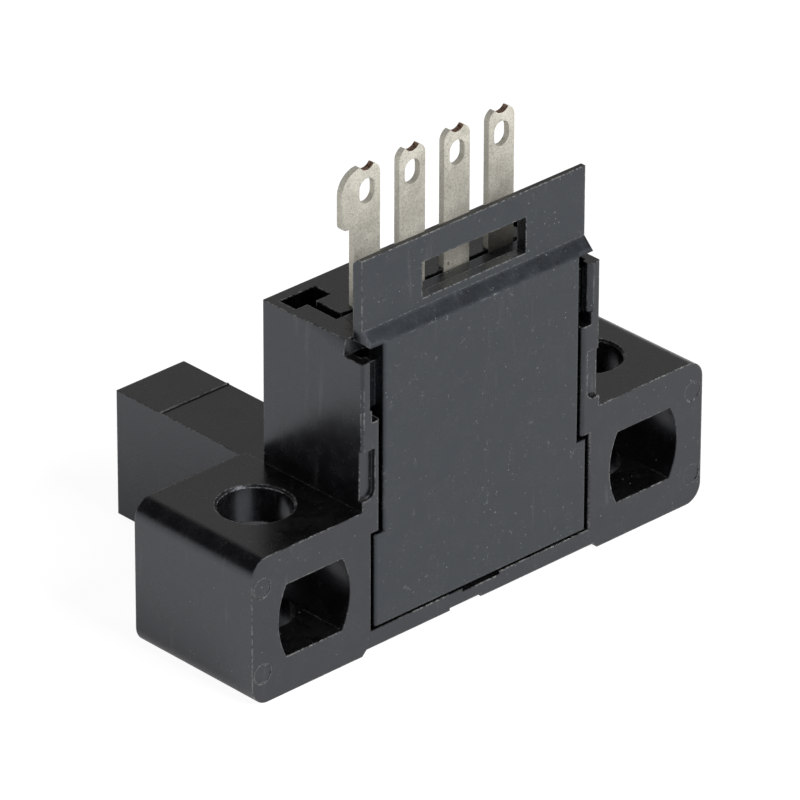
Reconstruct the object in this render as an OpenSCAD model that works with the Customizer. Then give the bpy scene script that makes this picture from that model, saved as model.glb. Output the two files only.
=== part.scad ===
// Slotted optical switch: a moulded housing with two mounting ears and a fork, a snap-in cover, four tab
// terminals and the electronics inside. Lengths are in millimetres. X runs from ear to ear, Y from the
// cover to the fork tips and Z up to the terminal tips. The origin lies midway between the two mounting
// holes, on the plane that the ears sit on.

/* [Mounting ears] */
// Distance between the centres of the two mounting holes
hole_pitch = 19; // [18:0.1:20]
// Diameter of the mounting holes
hole_d = 3.2; // [2.6:0.1:3.4]
// Width of the broken edge round the top of each mounting hole
hole_rim = 0.1; // [0.05:0.05:0.2]
// Width across both ears
overall_w = 25.96; // [25.4:0.02:28]
// Depth of the ears from front to back
ear_depth = 7.14; // [6.8:0.02:8.5]
// Height of the ears
ear_h = 6.82; // [6.4:0.02:8]
// Radius along the outer edges of the ears
ear_round = 0.85; // [0.2:0.05:1.2]
// Width of the cross holes at the middle of their height
cross_w = 4; // [3.4:0.1:4.4]
// Height of the cross holes
cross_h = 3.4; // [2.6:0.1:4]
// Bulge of the curved sides of the cross holes
cross_bow = 0.43; // [0.1:0.01:0.7]
// Lift of the underside between the ears
foot_h = 0.25; // [0.1:0.05:0.4]
// Diameter of the ejector pin marks on the ears
pin_mark_d = 0.9; // [0.6:0.1:1]
// Depth of the ejector pin marks
pin_mark_deep = 0.03; // [0.02:0.01:0.06]
// Distance of the ejector pin marks from the outer side of the ears
pin_mark_side = 0.13; // [0.03:0.01:0.2]
// Distance of the ejector pin marks from the rounded edges of the ears
pin_mark_set = 0.1; // [0.05:0.05:0.3]

/* [Housing] */
// Width of the upright body
body_w = 13.62; // [13.2:0.02:14]
// Depth of the upright body
body_depth = 5.97; // [5.8:0.01:6.4]
// Height of the body's top
body_h = 14.44; // [14:0.02:17]
// Thickness of the body's side walls
side_wall = 1.03; // [0.9:0.01:1.2]
// Thickness of the body's back wall
back_wall = 0.55; // [0.4:0.05:0.7]
// Thickness of the floor, which is the bottom rail of the front frame
floor_t = 0.78; // [0.5:0.01:0.9]
// Width of the gate recess under the front edge of the floor
gate_w = 1.8; // [1:0.1:3]
// Depth of the gate recess
gate_deep = 0.12; // [0.05:0.01:0.2]
// Length of the gate recess behind the front edge
gate_l = 0.8; // [0.4:0.1:1.5]
// Thickness of the roof behind the terminals
roof_t = 1.6; // [1.2:0.1:2]
// Width of the gap between the roof and each side wall
roof_gap = 0.5; // [0.3:0.05:0.7]
// Depth of the corner pockets beside the roof
pocket_d = 1; // [0.6:0.05:1.4]
// Wall left outside the corner pockets
pocket_wall = 0.4; // [0.3:0.02:0.6]
// Cut of the corner pockets into the roof
pocket_in = 0.85; // [0.4:0.05:1.4]
// Width of the lead-in bevel on top of each side wall, at its front end
lead_in_w = 0.12; // [0.05:0.01:0.4]
// Height of the lead-in bevel at its front end
lead_in_h = 0.35; // [0.1:0.05:0.5]
// Length over which the lead-in bevel runs out towards the back
lead_in_l = 3.3; // [2:0.1:4]
// Inward step of the side walls beside the cover's shelf
cheek = 0.3; // [0.15:0.05:0.5]

/* [Front frame] */
// Depth of the step that the cover's wings lie in
step_d = 0.5; // [0.4:0.05:0.7]
// Width of the step on each side of the opening
step_w = 0.5; // [0.4:0.05:0.6]
// Height of the lower end of the two side tabs
tab_foot = 5.68; // [5.2:0.02:6.2]
// Height of the latch openings between the tabs and the notches
latch_h = 2.85; // [2.6:0.05:3.2]
// Height of the wide lower part of the latch openings
latch_sill_h = 0.57; // [0.4:0.01:0.8]
// Inward lip of the posts beside the upper part of the latch openings
post_lip = 0.08; // [0.04:0.01:0.12]
// Depth of the latch pockets behind the upper posts
latch_d = 0.9; // [0.7:0.05:1.2]
// Undercut of the latch pockets behind the upper posts
latch_undercut = 0.12; // [0.06:0.02:0.2]
// Depth of the notch in the top of each side wall, below the body's top
notch_h = 0.75; // [0.5:0.05:0.9]
// Depth of the shallow recess on the face of each tab
recess_deep = 0.2; // [0.05:0.01:0.25]
// Height of the lower end of the shallow recess
recess_foot = 7.3; // [6.8:0.1:7.6]
// Length of the shallow recess
recess_h = 2.3; // [1.8:0.1:2.6]
// Radius of the inner lower corner of the shallow recess
recess_round = 0.4; // [0.2:0.05:0.6]
// Rim left between the shallow recess and the opening
recess_rim = 0.33; // [0.25:0.01:0.4]
// Bevel on the outer edge of the posts above the recess
post_bevel = 0.1; // [0.05:0.01:0.25]
// Bevel on the inner edge of the posts, beside the latch openings
post_chamfer = 0.2; // [0.05:0.01:0.25]
// Radius of the inner front edge of the tabs
tab_round = 0.2; // [0.05:0.01:0.24]
// Radius of the front edge of the frame beside the cover's wings
frame_round = 0.1; // [0.05:0.01:0.2]
// Width of the catch slot in the bottom rail
catch_w = 2.14; // [1.6:0.02:2.8]
// Depth of the catch slot below the floor
catch_deep = 0.3; // [0.2:0.05:0.4]

/* [Fork] */
// Width of the sensing slot
slot_w = 5; // [4.6:0.1:5.4]
// Width of each arm
arm_w = 3.84; // [3.7:0.02:4.1]
// Height of the arms
arm_h = 5.95; // [5.7:0.05:6.1]
// Reach of the arms past the back of the ears
arm_reach = 8.55; // [7.5:0.05:12]
// Wall of the arms
arm_wall = 0.65; // [0.5:0.05:0.8]
// Wall at the tip of the arms and behind the slot's floor
tip_wall = 0.8; // [0.6:0.05:1]
// Distance from the tips to the optical axis
axis_inset = 2.8; // [2.4:0.1:3.2]
// Width of the raised line that marks the optical axis
mark_w = 0.12; // [0.08:0.02:0.2]
// Height of the raised line that marks the optical axis
mark_h = 0.04; // [0.02:0.01:0.08]

/* [Optics] */
// Width of the emitter's window
port_w = 1.9; // [1.4:0.1:2.2]
// Height of the emitter's window
port_h = 2.6; // [2:0.1:3]
// Width of the receiver's aperture slit
slit_w = 0.5; // [0.4:0.05:0.8]
// Height of the receiver's aperture slit
slit_h = 2.1; // [1.6:0.1:2.6]
// Thickness of the window plates inside the arms
plate_t = 0.35; // [0.25:0.05:0.5]
// Overlap of the window plates round their openings
plate_rim = 0.3; // [0.2:0.05:0.4]
// Depth of the windows below the faces of the slot
window_sink = 0.06; // [0.02:0.02:0.15]
// Thickness of the emitter and receiver packages
package_t = 1.4; // [1.2:0.05:1.5]
// Length of the packages along the arms
package_d = 2.2; // [1.8:0.1:2.6]
// Radius of the lens dome on the packages at its base
dome_r = 0.95; // [0.7:0.05:1.05]
// Distance from the lens side of the packages to the middle of their leads
lead_set = 0.35; // [0.3:0.05:0.7]
// Thickness of the leads
lead_t = 0.4; // [0.3:0.05:0.5]
// Spacing of the leads
lead_pitch = 1.27; // [1.1:0.01:1.5]

/* [Cover] */
// Gap between the cover and the frame round it
cover_gap = 0.19; // [0.12:0.01:0.3]
// Radius of the side edges of the cover's face
cover_round = 0.13; // [0.05:0.01:0.2]
// Gap under the cover
cover_lift = 0.14; // [0.1:0.01:0.3]
// Thickness of the cover's panel
panel_t = 0.9; // [0.7:0.05:1.1]
// Width of the flange
flange_w = 12.68; // [12:0.02:13]
// Height of the flange above its lower edge
flange_h = 3.79; // [3:0.01:5]
// Thickness of the flange
flange_t = 0.53; // [0.4:0.01:0.7]
// Distance of the flange behind the panel's face, and rise of the slope up to it
flange_set = 0.54; // [0.4:0.02:0.7]
// Depth of the flange's lower edge below the body's top
flange_drop = 0.15; // [0.05:0.01:0.25]
// Bevel on the upper back edge of the flange
flange_bevel = 0.28; // [0.1:0.02:0.35]
// Width of the flange's window
window_w = 5.9; // [5:0.1:8]
// Height of the flange's window
window_h = 1.67; // [1.2:0.01:2]
// Height of the window's sill above the flange's lower edge
sill_h = 0.9; // [0.7:0.05:1.2]
// Thickness of the shelf in front of the terminals
shelf_t = 0.9; // [0.6:0.05:1.2]
// Gap between the shelf and the roof, where the terminals come up
shelf_gap = 0.25; // [0.15:0.05:0.4]
// Length of the latch barbs
barb_h = 2.1; // [1.4:0.1:2.3]
// Thickness of the latch barbs
barb_t = 0.6; // [0.5:0.02:0.65]
// Thickness of the ribs that press on the board
rib_t = 0.45; // [0.3:0.05:0.5]
// Length of the ribs that press on the board
rib_h = 3.6; // [2:0.1:4]

/* [Terminals] */
// Spacing of the terminals
pitch = 2.54; // [2.4:0.02:2.6]
// Width of a terminal
term_w = 1.46; // [1.2:0.02:1.6]
// Thickness of a terminal
term_t = 0.3; // [0.2:0.05:0.4]
// Distance from the front face to the terminals
term_set = 2.93; // [2.75:0.01:3.1]
// Height of the terminals above the body's top
term_rise = 6.28; // [5.6:0.01:9]
// Length of the terminal feet on the board, below the roof
term_foot = 3; // [2:0.1:3.6]
// Radius of the outer corners at the tips
tip_round = 0.5; // [0.2:0.02:0.55]
// Width of the concave break at the tips
break_w = 0.76; // [0.5:0.02:0.9]
// Depth of the concave break at the tips
break_deep = 0.22; // [0.1:0.02:0.3]
// Width of the solder eyes
eye_w = 0.85; // [0.6:0.05:1]
// Height of the solder eyes
eye_h = 1.14; // [1.02:0.02:1.6]
// Distance from the tips to the middle of the solder eyes
eye_drop = 1.17; // [1.1:0.01:1.6]
// Reach of the hook beside the first terminal
hook_reach = 0.68; // [0.3:0.02:0.9]
// Distance from the tip to the lower edge of the hook
hook_drop = 2.62; // [2.2:0.02:3]
// Radius of the hook's upper corner
hook_round = 1.06; // [0.6:0.02:1.2]
// Radius of the hook's lower corner
hook_corner = 0.3; // [0.1:0.05:0.5]

/* [Electronics] */
// Thickness of the circuit board
board_t = 0.8; // [0.6:0.1:1]
// Clearance round the edges of the board
board_gap = 0.12; // [0.05:0.01:0.2]
// Width of the ledges behind the board
ledge_w = 0.6; // [0.4:0.05:0.8]
// Length of the lead tails in front of the board
lead_tail = 0.3; // [0.2:0.05:0.5]
// Distance from the roof down to the middle of the indicator window
indicator_drop = 2.2; // [1.6:0.1:3]
// Width of the indicator window
indicator_w = 3.4; // [2.4:0.1:4]
// Height of the indicator window
indicator_h = 1.6; // [1.2:0.1:1.8]
// Length of the chip parts
chip_l = 1.6; // [1.4:0.05:1.8]
// Width of the chip parts
chip_w = 0.8; // [0.7:0.05:0.9]
// Height of the chip parts
chip_t = 0.5; // [0.4:0.05:0.6]
// Length of the end caps of the chip parts
chip_cap = 0.32; // [0.2:0.02:0.4]
// Gap between neighbouring chip parts
chip_gap = 0.6; // [0.4:0.05:0.7]
// Height of the lower row of chip parts above the foot of the side tabs
chip_rise = 0.7; // [0.5:0.05:0.9]
// Length of the transistor's body
transistor_l = 2.9; // [2.7:0.1:3.1]
// Width of the transistor's body
transistor_w = 1.3; // [1.2:0.1:1.5]
// Height of the transistor's body
transistor_t = 0.95; // [0.8:0.05:1.1]
// Distance of the transistor from the middle plane
transistor_off = 2.4; // [2:0.1:2.8]
// Width of the transistor's leads
transistor_lead_w = 0.4; // [0.3:0.05:0.5]
// Thickness of the transistor's leads
transistor_lead_t = 0.12; // [0.1:0.01:0.15]
// Reach of the transistor's leads past its body
transistor_lead_reach = 0.55; // [0.4:0.05:0.7]
// Distance of the two lower leads from the middle of the transistor
transistor_lead_gap = 0.95; // [0.8:0.05:1.1]
// Radius of the solder cones on the board
solder_r = 0.48; // [0.4:0.02:0.55]
// Height of the solder cones
solder_h = 0.24; // [0.15:0.01:0.28]
// Leg of the solder fillets beside the terminal feet
solder_leg = 0.24; // [0.1:0.02:0.28]

/* [Hidden] */
TERMINALS = 4;
$fn = 48;

// Clearance between pieces that are slid together
fit = 0.03;
// Overrun of a cut past the face that it opens
past = 1;

// Main planes of the housing
front = -ear_depth / 2;
back = ear_depth / 2;
tip = back + arm_reach;
half_w = overall_w / 2;
body_half = body_w / 2;
body_back = front + body_depth;
bay_half = body_half - side_wall;
bay_back = body_back - back_wall;
floor_z = foot_h + floor_t;
roof_z = body_h - roof_t;
arm_top = foot_h + arm_h;
arm_ceiling = arm_top - arm_wall;
indicator_z = roof_z - indicator_drop;

// Optical axis, which crosses the slot along X
axis_y = tip - axis_inset;
axis_z = foot_h + arm_h / 2;
emitter_side = -1;
receiver_side = 1;

// Terminals, board and the planes that they set
term_front = front + term_set;
term_back = term_front + term_t;
term_tip = body_h + term_rise;
term_low = roof_z - term_foot;
board_front = term_back;
board_back = board_front + board_t;
board_half = bay_half - board_gap;
roof_front = term_front - fit;
shelf_back = roof_front - shelf_gap;

// Front frame and cover
step_half = bay_half + step_w;
notch_z = body_h - notch_h;
tab_top = notch_z - latch_h;
cheek_half = bay_half - cheek;
flange_foot = body_h - flange_drop;
flange_front = front + flange_set;
flange_back = flange_front + flange_t;
cover_foot = floor_z + cover_lift;

// Packages inside the arms, measured from the face of the slot
package_out = arm_w - arm_wall - fit;
package_in = package_out - package_t;
plate_back = arm_wall + plate_t;
dome_h = package_in - plate_back - fit;
lead_in = package_in + lead_set;
emitter_lead_rows = [-1, 1];
receiver_lead_rows = [-1, 0, 1];
lead_hole_d = lead_t * sqrt(2) + 2 * fit;

// Places on the board: the chips lie in a grid beside the transistor, under the terminal feet
chip_pitch = chip_l + chip_gap;
chip_row_z = tab_foot + chip_rise;
chip_row_step = chip_w + chip_gap;
transistor_z = chip_row_z + chip_row_step / 2;

// A box from its lowest to its highest corner
module block(lo, hi) {
    translate(lo) cube(hi - lo);
}

// A shape and its mirror image across the middle plane
module both_sides() {
    children();
    mirror([1, 0, 0]) children();
}

// A profile drawn in X and Z, carried along Y
module along_y(y0, y1) {
    translate([0, y1, 0]) rotate([90, 0, 0]) linear_extrude(y1 - y0) children();
}

// A profile drawn in Y and Z, carried along X
module along_x(x0, x1) {
    translate([x0, 0, 0]) rotate([90, 0, 90]) linear_extrude(x1 - x0) children();
}

// Local frame of an arm: origin on the face of the slot at the optical axis, X into the arm
module on_arm(side) {
    mirror([side < 0 ? 1 : 0, 0, 0]) translate([slot_w / 2, axis_y, axis_z]) children();
}

// What a rounded upright edge loses: the edge stands at the origin and its solid lies towards +X and +Y
module edge_loss(radius, height) {
    linear_extrude(height) difference() {
        translate([-past, -past]) square(past + radius);
        translate([radius, radius]) circle(radius);
    }
}

// Outline of an ear, with its two outer corners rounded and the small ramp at its foot
module ear_profile() {
    edge_x = half_w - ear_round;
    polygon([
        [body_half - foot_h, foot_h], [body_half, 0], [edge_x, 0],
        [edge_x, ear_h], [body_half, ear_h], [body_half, foot_h]
    ]);
    translate([edge_x, ear_round]) square([ear_round, ear_h - 2 * ear_round]);
    for (z = [ear_round, ear_h - ear_round]) translate([edge_x, z]) circle(ear_round);
}

// Barrel outline of a cross hole: flat above and below, curved at both sides
module cross_profile() {
    arc_r = (pow(cross_h / 2, 2) + pow(cross_bow, 2)) / (2 * cross_bow);
    arc_shift = arc_r - cross_w / 2;
    intersection() {
        square([cross_w, cross_h], center = true);
        translate([arc_shift, 0]) circle(arc_r);
        translate([-arc_shift, 0]) circle(arc_r);
    }
}

// Outer form of the housing before it is hollowed
module housing_form() {
    both_sides() along_y(front, back) ear_profile();
    block([-body_half, front, foot_h], [body_half, back, arm_top]);
    block([-body_half, front, foot_h], [body_half, body_back, body_h]);
    both_sides() block([slot_w / 2, back - past, foot_h], [slot_w / 2 + arm_w, tip, arm_top]);
    both_sides() axis_mark();
}

// Raised line across the top of an arm over the optical axis
module axis_mark() {
    lo = [slot_w / 2, axis_y - mark_w / 2, arm_ceiling];
    hi = [slot_w / 2 + arm_w, axis_y + mark_w / 2, arm_top + mark_h];
    block(lo, hi);
}

// Mounting hole, cross hole and ejector pin marks of one ear
module ear_cuts() {
    translate([hole_pitch / 2, 0, -past]) cylinder(d = hole_d, h = ear_h + 2 * past);
    translate([hole_pitch / 2, 0, ear_h - hole_rim])
        cylinder(d1 = hole_d, d2 = hole_d + 2 * hole_rim, h = hole_rim);
    along_y(front - past, back + past) translate([hole_pitch / 2, ear_h / 2]) cross_profile();
    mark_x = half_w - pin_mark_side - pin_mark_d / 2;
    mark_z = ear_round + pin_mark_set + pin_mark_d / 2;
    for (z = [mark_z, ear_h - mark_z])
        translate([mark_x, front + pin_mark_deep, z]) rotate([90, 0, 0]) cylinder(d = pin_mark_d, h = past);
}

// Hollow of the body, open at the front, and the hollow of the arms
module bay() {
    block([-bay_half, front - past, floor_z], [bay_half, bay_back, roof_z]);
    block([-bay_half, front - past, floor_z], [bay_half, back - tip_wall, arm_ceiling]);
    both_sides() block(
        [slot_w / 2 + arm_wall, bay_back - past, floor_z],
        [slot_w / 2 + arm_w - arm_wall, tip - tip_wall, arm_ceiling]
    );
}

// Openings in the top: the mouth for the cover's shelf, the gaps beside the roof and the corner pockets
module top_cuts() {
    roof_half = bay_half - roof_gap;
    top = body_h + past;
    block([-cheek_half, front - past, roof_z - fit], [cheek_half, roof_front, top]);
    both_sides() block([roof_half, shelf_back, roof_z - fit], [bay_half, bay_back, top]);
    both_sides() block(
        [roof_half - pocket_in, bay_back - pocket_d, roof_z - fit],
        [body_half - pocket_wall, bay_back, top]
    );
    for (i = [0:TERMINALS - 1]) translate([terminal_x(i), 0, 0]) block(
        [-term_w / 2 - fit, roof_front - past, roof_z - fit],
        [term_w / 2 + fit, term_back + fit, top]
    );
}

// Outline of the shallow recess on a tab: open at the outer edge, with its inner lower corner rounded
module recess_profile() {
    inner = bay_half + recess_rim;
    outer = body_half + past;
    translate([inner, recess_foot + recess_round]) square([outer - inner, recess_h - recess_round]);
    translate([inner + recess_round, recess_foot]) square([outer - inner - recess_round, recess_round]);
    translate([inner + recess_round, recess_foot + recess_round]) circle(recess_round);
}

// Steps, latch pockets, notches, recesses and bevels of one side of the front frame
module frame_cuts() {
    latch_half = step_half + latch_undercut;
    latch_sill = tab_top + latch_sill_h;
    face = front - past;
    block([0, face, floor_z], [step_half, front + step_d, tab_foot]);
    block([0, face, tab_top], [step_half, front + step_d, latch_sill]);
    block([0, face, tab_top], [step_half - post_lip, front + step_d, notch_z]);
    block([bay_half - past, front + step_d, tab_top], [latch_half, front + step_d + latch_d, notch_z]);
    block([0, face, notch_z], [body_half + past, flange_back + fit, body_h + past]);
    along_y(face, front + recess_deep) recess_profile();
    upright_bevel(body_half, recess_foot + recess_h, body_h, post_bevel);
    upright_bevel(step_half - post_lip, latch_sill, notch_z, post_chamfer);
    translate([bay_half, front, tab_foot]) edge_loss(tab_round, tab_top - tab_foot);
    translate([step_half, front, floor_z]) edge_loss(frame_round, tab_foot - floor_z);
}

// What a bevelled upright edge of the front face loses, from the foot to the top
module upright_bevel(x, foot, top, width) {
    side = width * sqrt(2);
    translate([x, front, foot]) rotate([0, 0, 45]) translate([-side / 2, -side / 2, 0])
        cube([side, side, top - foot]);
}

// Bevel on the top of one side wall, widest behind the notch and running out to nothing at the back
module lead_in_cut() {
    turn = atan(lead_in_w / lead_in_l);
    slope = atan(lead_in_h / (lead_in_w * cos(turn)));
    translate([body_half, flange_back + lead_in_l, body_h]) rotate([0, 0, -turn]) rotate([0, slope, 0])
        translate([-past, -lead_in_l - past, 0]) cube([2 * past, lead_in_l + past, past]);
}

// Recess left by the moulding gate, under the front edge of the floor
module gate_cut() {
    block([-gate_w, front - past, foot_h - past], [0, front + gate_l, foot_h + gate_deep]);
}

// Slot in the bottom rail for the cover's tongue
module catch_cut() {
    half = catch_w / 2;
    panel_back = front + panel_t;
    block([-half, front - past, floor_z - catch_deep / 2], [half, front + step_d, cover_foot]);
    block([-half, front + step_d, floor_z - catch_deep], [half, panel_back + fit, cover_foot]);
}

// Openings for the two optical windows and the indicator
module window_cuts() {
    on_arm(emitter_side) block([-past, -port_w / 2, -port_h / 2], [arm_wall + fit, port_w / 2, port_h / 2]);
    on_arm(receiver_side) block([-past, -slit_w / 2, -slit_h / 2], [arm_wall + fit, slit_w / 2, slit_h / 2]);
    translate([0, 0, indicator_z]) block(
        [-indicator_w / 2, bay_back - fit, -indicator_h / 2],
        [indicator_w / 2, body_back + past, indicator_h / 2]
    );
}

// Ledges at the back of the bay that the board rests on
module board_ledges() {
    both_sides() block([bay_half - ledge_w, board_back, arm_ceiling], [bay_half, bay_back, roof_z]);
}

module housing() {
    color("#2a2b2d") union() {
        difference() {
            housing_form();
            bay();
            top_cuts();
            both_sides() frame_cuts();
            both_sides() lead_in_cut();
            both_sides() ear_cuts();
            catch_cut();
            gate_cut();
            window_cuts();
        }
        board_ledges();
    }
}

// Section of the flange, with the slope that leads up to it and the bevel on its upper back edge
module flange_profile() {
    top = flange_foot + flange_h;
    polygon([
        [front, flange_foot], [flange_front, flange_foot + flange_set], [flange_front, top],
        [flange_back - flange_bevel, top], [flange_back, top - flange_bevel], [flange_back, flange_foot]
    ]);
}

// Latch barb on one edge of the panel, sloped at its back so that it snaps in behind the post
module barb() {
    reach = step_half + latch_undercut - 2 * fit;
    panel_half = bay_half - cover_gap;
    barb_front = front + step_d + 2 * fit;
    translate([0, 0, tab_top + (notch_z - tab_top - barb_h) / 2]) linear_extrude(barb_h) polygon([
        [panel_half - panel_t, barb_front], [reach, barb_front],
        [reach, barb_front + barb_t / 3], [panel_half - panel_t / 2, barb_front + barb_t],
        [panel_half - panel_t, barb_front + barb_t]
    ]);
}

// Plate of the cover's face from its foot up to a height, with its two side edges rounded
module face_plate(half, thickness, top) {
    translate([0, front, cover_foot]) linear_extrude(top - cover_foot) {
        translate([-half, cover_round]) square([2 * half, thickness - cover_round]);
        translate([cover_round - half, 0]) square([2 * (half - cover_round), thickness]);
        for (side = [-1, 1]) translate([side * (half - cover_round), cover_round]) circle(cover_round);
    }
}

module rear_cover() {
    panel_half = bay_half - cover_gap;
    wing_half = step_half - cover_gap;
    panel_back = front + panel_t;
    color("#303134") difference() {
        union() {
            face_plate(panel_half, panel_t, flange_foot);
            face_plate(wing_half, step_d, tab_foot - cover_gap);
            along_x(-flange_w / 2, flange_w / 2) flange_profile();
            block(
                [-cheek_half + fit, front + panel_t / 2, body_h - shelf_t],
                [cheek_half - fit, shelf_back, body_h]
            );
            both_sides() barb();
            both_sides() block(
                [board_half - 2 * rib_t, front + panel_t / 2, tab_foot],
                [board_half - rib_t, board_front, tab_foot + rib_h]
            );
            block(
                [-catch_w / 2 + fit, front + step_d + fit, floor_z - catch_deep + fit],
                [catch_w / 2 - fit, panel_back, cover_foot + fit]
            );
        }
        block(
            [-window_w / 2, front - past, flange_foot + sill_h],
            [window_w / 2, flange_back + past, flange_foot + sill_h + window_h]
        );
    }
}

// Place of a terminal along the row
function terminal_x(index) = (index - (TERMINALS - 1) / 2) * pitch;

// Straight blade of a terminal with rounded outer corners at its tip
module blade_profile() {
    shoulder = term_tip - tip_round;
    centre = term_w / 2 - tip_round;
    translate([-term_w / 2, term_low]) square([term_w, shoulder - term_low]);
    translate([-centre, shoulder - tip_round]) square([2 * centre, 2 * tip_round]);
    for (x = [-centre, centre]) translate([x, shoulder]) circle(tip_round);
}

// Hook beside the first terminal: a wide upper corner, a small lower corner and a straight edge between
module hook_profile() {
    left = -term_w / 2 - hook_reach;
    foot = term_tip - hook_drop;
    crown = term_tip - hook_round;
    intersection() {
        translate([left, foot]) square([-left, hook_drop]);
        union() {
            translate([left + hook_round, crown]) circle(hook_round);
            translate([left, foot + hook_corner]) square([-left, crown - foot - hook_corner]);
            translate([left + hook_corner, foot]) square([-left - hook_corner, hook_corner]);
            translate([left + hook_corner, foot + hook_corner]) circle(hook_corner);
        }
    }
}

// Oblong solder eye
module eye_profile() {
    for (side = [-1, 1]) translate([0, side * (eye_h - eye_w) / 2]) circle(d = eye_w);
    square([eye_w, eye_h - eye_w], center = true);
}

module terminal(index) {
    break_r = (pow(break_w / 2, 2) + pow(break_deep, 2)) / (2 * break_deep);
    color("#c8c4b6") translate([terminal_x(index), 0, 0]) along_y(term_front, term_back) difference() {
        union() {
            blade_profile();
            if (index == 0) hook_profile();
        }
        translate([0, term_tip - eye_drop]) eye_profile();
        translate([0, term_tip - break_deep + break_r]) circle(break_r);
    }
}

// Places of the leads of one package, as square or round pins along Y
module lead_places(side, rows) {
    on_arm(side) for (row = rows) translate([lead_in, -axis_y, row * lead_pitch]) children();
}

module circuit_board() {
    color("#3f6b46") difference() {
        block([-board_half, board_front, floor_z + fit], [board_half, board_back, roof_z - fit]);
        lead_places(emitter_side, emitter_lead_rows) lead_hole();
        lead_places(receiver_side, receiver_lead_rows) lead_hole();
    }
}

module lead_hole() {
    translate([0, board_back + past, 0]) rotate([90, 0, 0])
        cylinder(d = lead_hole_d, h = board_t + 2 * past);
}

// Side-looking package with a lens dome that faces the slot
module package(side) {
    dome_sphere_r = (pow(dome_r, 2) + pow(dome_h, 2)) / (2 * dome_h);
    on_arm(side) {
        block(
            [package_in, -package_d / 2, floor_z + fit - axis_z],
            [package_out, package_d / 2, arm_ceiling - fit - axis_z]
        );
        intersection() {
            translate([package_in - dome_h + dome_sphere_r, 0, 0]) sphere(dome_sphere_r);
            block(
                [package_in - dome_h, -dome_r, -dome_r],
                [package_in + fit, dome_r, dome_r]
            );
        }
    }
}

module lead_pin() {
    block(
        [-lead_t / 2, board_front - lead_tail, -lead_t / 2],
        [lead_t / 2, axis_y - package_d / 2, lead_t / 2]
    );
}

module emitter() {
    color("#b9c6d2") package(emitter_side);
}

module emitter_leads() {
    color("#b8b8b4") lead_places(emitter_side, emitter_lead_rows) lead_pin();
}

module receiver() {
    color("#26242c") package(receiver_side);
}

module receiver_leads() {
    color("#b8b8b4") lead_places(receiver_side, receiver_lead_rows) lead_pin();
}

// Window plate inside an arm, with a raised field that fills the opening in the wall
module window_plate(side, w, h) {
    on_arm(side) {
        plate = [w, h] / 2 + [plate_rim, plate_rim];
        field = [w, h] / 2 - [fit, fit];
        block([arm_wall, -plate.x, -plate.y], [plate_back, plate.x, plate.y]);
        block([window_sink, -field.x, -field.y], [arm_wall + fit, field.x, field.y]);
    }
}

module emitter_window() {
    color("#3a1d24") window_plate(emitter_side, port_w, port_h);
}

module receiver_window() {
    color("#2a161b") window_plate(receiver_side, slit_w, slit_h);
}

module indicator_led() {
    color("#e8e2cf") translate([0, board_back, indicator_z])
        block([-chip_l / 2, 0, -chip_w / 2], [chip_l / 2, chip_t, chip_w / 2]);
}

module indicator_window() {
    color("#a3201c") translate([0, 0, indicator_z]) {
        block(
            [-indicator_w / 2 - plate_rim, bay_back - plate_t, -indicator_h / 2 - plate_rim],
            [indicator_w / 2 + plate_rim, bay_back, indicator_h / 2 + plate_rim]
        );
        block(
            [-indicator_w / 2 + fit, bay_back - fit, -indicator_h / 2 + fit],
            [indicator_w / 2 - fit, body_back - window_sink, indicator_h / 2 - fit]
        );
    }
}

module output_transistor() {
    color("#232325") translate([-transistor_off, board_front - fit, transistor_z]) block(
        [-transistor_l / 2, -transistor_t, -transistor_w / 2],
        [transistor_l / 2, 0, transistor_w / 2]
    );
}

// Bent lead of the transistor: out of the middle of the body, down and along the board
module transistor_lead() {
    side = transistor_w / 2;
    mid = transistor_t / 2 + fit;
    bend = transistor_lead_reach / 2;
    t = transistor_lead_t;
    translate([-transistor_lead_w / 2, 0, 0]) rotate([90, 0, 90]) linear_extrude(transistor_lead_w) polygon([
        [-mid - t, side], [-mid - t, side + bend + t], [-t, side + bend + t],
        [-t, side + transistor_lead_reach + t], [0, side + transistor_lead_reach + t],
        [0, side + bend], [-mid, side + bend], [-mid, side]
    ]);
}

module transistor_leads() {
    color("#b8b8b4") translate([-transistor_off, board_front, transistor_z]) {
        transistor_lead();
        for (x = [-transistor_lead_gap, transistor_lead_gap])
            translate([x, 0, 0]) mirror([0, 0, 1]) transistor_lead();
    }
}

// Chip part with slightly raised end caps, lying on the front of the board
module chip(column, row) {
    translate([column * chip_pitch, board_front, chip_row_z + row * chip_row_step]) {
        body_l = chip_l - 2 * chip_cap;
        block([-body_l / 2, -chip_t + fit, -chip_w / 2 + fit], [body_l / 2, 0, chip_w / 2 - fit]);
        for (side = [-1, 1]) translate([side * (chip_l - chip_cap) / 2, 0, 0])
            block([-chip_cap / 2, -chip_t, -chip_w / 2], [chip_cap / 2, 0, chip_w / 2]);
    }
}

module chip_resistors() {
    color("#1f2023") {
        chip(0.5, 0);
        chip(0.5, 1);
        chip(1.5, 1);
    }
}

module chip_capacitor() {
    color("#a88a63") chip(1.5, 0);
}

// Solder cone round a lead in front of the board
module lead_solder() {
    difference() {
        translate([0, board_front, 0]) rotate([90, 0, 0])
            cylinder(r1 = solder_r, r2 = lead_hole_d / 2, h = solder_h);
        block(
            [-lead_t / 2, board_front - lead_tail - past, -lead_t / 2],
            [lead_t / 2, board_front + past, lead_t / 2]
        );
    }
}

// Solder fillet along one edge of a terminal foot
module foot_solder() {
    translate([term_w / 2, board_front, term_low + solder_leg]) linear_extrude(term_foot - 3 * solder_leg)
        polygon([[0, 0], [solder_leg, 0], [0, -solder_leg]]);
}

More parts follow.
